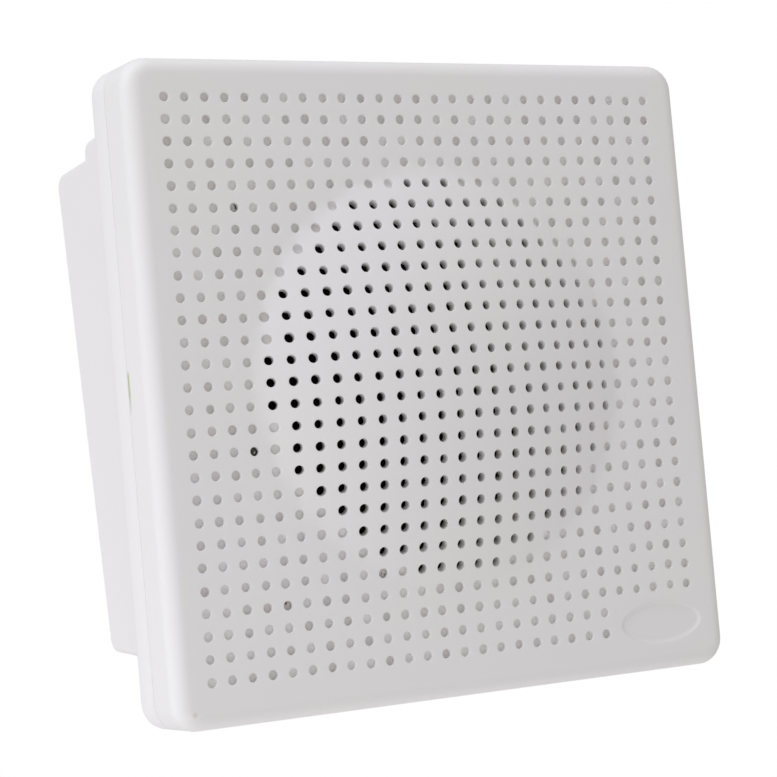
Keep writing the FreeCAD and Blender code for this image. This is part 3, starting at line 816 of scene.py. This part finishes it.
# Resin dipped cotton: amber cloth, stiff, with a weave that shows in its gloss.
amber_cloth = mottled("resin dipped cotton", ("#B98F4E", "#8F6830"), 0.6, (0.45, 0.7), 0.08, ior=1.5)
dress(cone_paper, "cone", "dust_cap")
dress(kraft_paper, "voice_coil_former")
dress(amber_cloth, "spider")
dress(black_rubber, "surround")

# Solder strip
# A small strip of brown phenolic board on the frame, with two brass tags for the leads of the driver.
# Phenolic board: brown resin paper with a faint grain.
phenolic = mottled("phenolic board", ("#6B4226", "#532F19"), 2.0, (0.3, 0.45), 0.02, ior=1.6)
dress(phenolic, "solder_strip")

# Case screws
# Four pan head screws that go in from behind, down the wells of the rim, and join the two mouldings. They
# are cold headed from steel, with a cross recess, and zinc plated.
head_radius = 3.3
head_height = 2.2
head_ease = 0.9
shank_radius = 1.6
shank_length = 15.5
recess_span = 3.6
recess_width = 0.8
recess_depth = 1.3
screw_seat = 22.0 * mm
screw_turns = (20, 65, 110, 5)

screw = spun(
    "case_screw",
    eased(
        [
            (0, head_height),
            (head_radius, head_height),
            (head_radius, 0),
            (shank_radius, 0),
            (shank_radius, -shank_length),
            (0, -shank_length),
        ],
        head_ease,
    ),
)
for arm in ((recess_span, recess_width), (recess_width, recess_span)):
    bpy.ops.object.select_all(action="DESELECT")
    bpy.ops.mesh.primitive_cube_add(size=1)
    cutter = bpy.context.object
    bpy.ops.transform.resize(value=(arm[0] * mm, arm[1] * mm, 2 * recess_depth * mm))
    bpy.ops.transform.translate(value=(0, 0, head_height * mm))
    start(screw)
    recess = screw.modifiers.new("recess", "BOOLEAN")
    recess.object = cutter
    bpy.ops.object.modifier_apply(modifier=recess.name)
    bpy.data.objects.remove(cutter)
screws = []
for turn, (right, up) in zip(screw_turns, ((-1, -1), (1, -1), (-1, 1), (1, 1))):
    copy = bpy.data.objects.new("screw", screw.data.copy())
    bpy.context.scene.collection.objects.link(copy)
    seat = Matrix.Translation((right * case_boss_place, up * case_boss_place, -screw_seat))
    copy.data.transform(
        on_the_wall @ seat @ Matrix.Rotation(math.pi, 4, "X") @ Matrix.Rotation(math.radians(turn), 4, "Z")
    )
    screws.append(copy)
bpy.data.objects.remove(screw)
start(screws[0])
for copy in screws:
    copy.select_set(True)
bpy.ops.object.join()
screws = bpy.context.object
screws.name = "case_screw_set"
soften(screws)
fit(screws, zinc_plate, "housing", "case_screws")

# Floor, light and camera
# A pale floor well below the speaker, a bright room that is a little brighter from below, cool soft boxes
# above and at the left, and the camera at the place that the grid of holes gives for the photograph.
floor_height = -0.9
floor_size = 6.0
paper_white = "#F2F2F2"
paper_roughness = 0.9
paper_glow = 0.3
clear_white = "#FFFFFF"
room_warm = "#FFFBFB"
room_below = 0.615
room_above = 0.485
room_low = -0.7
room_high = 0.5
lamp_blue = "#F4F9FF"
soft_boxes = {
    "upper_left": ((-1.43, -0.57, 1.12), 1.2, 10.0),
    "top": ((-0.2, -0.5, 1.6), 1.2, 8.7),
    "left": ((-1.2, 0.25, -0.1), 0.8, 0.9),
    "side_low": ((-0.6, -0.05, -0.4), 0.4, 0.75),
    "near_low": ((-0.35, -0.5, -0.5), 0.4, 0.56),
}
bpy.ops.object.select_all(action="DESELECT")
bpy.ops.mesh.primitive_plane_add(size=floor_size, location=(0, 0, floor_height))
floor = bpy.context.object
floor.name = "floor"
# Matt white paper: pale and without gloss, so nothing mirrors in it, with a glow as on a light table. It
# takes no part in the light on the speaker.
paper, tree = new_material("matt white paper")[:2]
surface = add_node(
    tree,
    "BsdfPrincipled",
    {
        "Base Color": srgb(paper_white),
        "Roughness": paper_roughness,
        "Emission Color": srgb(clear_white),
        "Emission Strength": paper_glow,
    },
)
add_node(tree, "OutputMaterial", {}, {"Surface": surface.outputs["BSDF"]})
floor.data.materials.append(paper)
floor.visible_diffuse = False
floor.visible_shadow = False

world = bpy.data.worlds.new("white room")
bpy.context.scene.world = world
world.use_nodes = True
tree = world.node_tree
tree.nodes.clear()
path = add_node(tree, "LightPath")
direction = add_node(tree, "TexCoord")
height = add_node(tree, "SeparateXYZ", {}, {"Vector": direction.outputs["Generated"]})
level = add_node(
    tree,
    "MapRange",
    {"From Min": room_low, "From Max": room_high, "To Min": room_below, "To Max": room_above},
    {"Value": height.outputs["Z"]},
)
seen = add_node(tree, "Background", {"Color": srgb(clear_white), "Strength": 1.0})
room = add_node(tree, "Background", {"Color": srgb(room_warm)}, {"Strength": level.outputs["Result"]})
both = add_node(
    tree,
    "MixShader",
    {},
    {0: path.outputs["Is Camera Ray"], 1: room.outputs["Background"], 2: seen.outputs["Background"]},
)
add_node(tree, "OutputWorld", {}, {"Surface": both.outputs["Shader"]})
bpy.context.scene.view_settings.view_transform = "Standard"

for name, (place, size, power) in soft_boxes.items():
    lamp = bpy.data.objects.new(name, bpy.data.lights.new(name, "AREA"))
    bpy.context.scene.collection.objects.link(lamp)
    lamp.data.size = size
    lamp.data.energy = power
    lamp.data.color = srgb(lamp_blue)[:3]
    lamp.location = place
    lamp.rotation_euler = Vector(place).to_track_quat("Z", "Y").to_euler()

camera_place = Vector((-0.40554, -0.77328, -0.11083))
camera_aim = Vector((0.0277, -0.01588, 0.00021))
camera_roll = math.radians(-7.572)
camera_lens = 111.03
camera_sensor = 36.0
camera_near = 0.05
camera = bpy.data.objects.new("camera", bpy.data.cameras.new("camera"))
bpy.context.scene.collection.objects.link(camera)
camera.data.lens = camera_lens
camera.data.sensor_width = camera_sensor
camera.location = camera_place
facing = (camera_aim - camera_place).to_track_quat("-Z", "Y")
camera.rotation_mode = "QUATERNION"
camera.rotation_quaternion = facing @ Matrix.Rotation(camera_roll, 3, "Z").to_quaternion()
camera.data.clip_start = camera_near
bpy.context.scene.camera = camera
